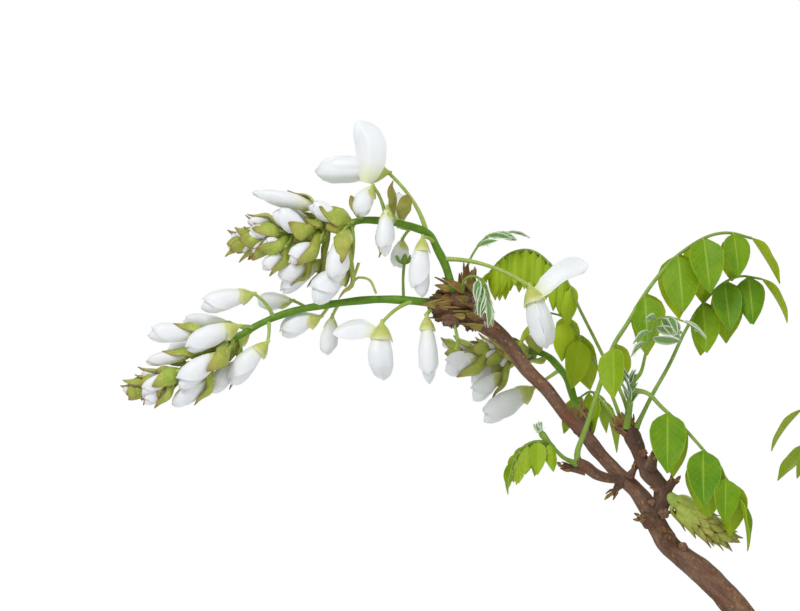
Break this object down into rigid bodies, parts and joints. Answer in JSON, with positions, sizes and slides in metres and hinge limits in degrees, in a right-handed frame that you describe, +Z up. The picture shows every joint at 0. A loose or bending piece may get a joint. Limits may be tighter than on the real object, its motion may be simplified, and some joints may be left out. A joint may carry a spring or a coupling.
{
  "type": "wisteria bonsai",
  "caption": "Potted wisteria bonsai in flower: short white racemes and folded young compound leaves on a knotty arching trunk, in an unglazed tray pot.",
  "frame": {"origin": "centre of the pot's flat underside", "axes": "+Z up; -Y towards the viewer of the picture; the long flowering branch reaches towards -X"},
  "size_m": [0.4413, 0.2008, 0.404],
  "materials": {
    "pot_clay": "unglazed, matte brown",
    "soil": "loose grains with some moss",
    "screen_plastic": "black moulded mesh",
    "bark": "rough brown bark with pale lenticels",
    "petals": "soft white petals with pale green cups",
    "bud_scales": "olive scales with brown edges",
    "leaf": "bright green, thin and veined",
    "young_leaf": "pale green under silky white hairs"
  },
  "bodies": {
    "root": {"drainage_screen_left": "screen_plastic", "drainage_screen_right": "screen_plastic", "leaf_apex_a": "leaf", "leaf_apex_b": "leaf", "leaf_apex_c": "leaf", "leaf_apex_d": "leaf", "leaf_back_a": "leaf", "leaf_back_b": "leaf", "leaf_back_c": "leaf", "leaf_behind_branch": "leaf", "leaf_beside": "leaf", "leaf_leader_a": "leaf", "leaf_leader_b": "leaf", "leaf_long": "leaf", "leaf_over": "leaf", "leaf_right_a": "leaf", "leaf_right_b": "leaf", "leaf_right_c": "leaf", "leaf_sprig": "young_leaf", "leaf_unfolding": "young_leaf", "leaf_upright": "leaf", "pot": "pot_clay", "raceme_back": "petals", "raceme_front_right": "petals", "raceme_lower": "petals", "raceme_rear": "petals", "raceme_right": "petals", "raceme_unopened": "bud_scales", "raceme_upper": "petals", "shoot_second_branch": "leaf", "shoot_side_fork": "leaf", "soil": "soil", "trunk_and_branches": "bark"}
  },
  "joints": []
}
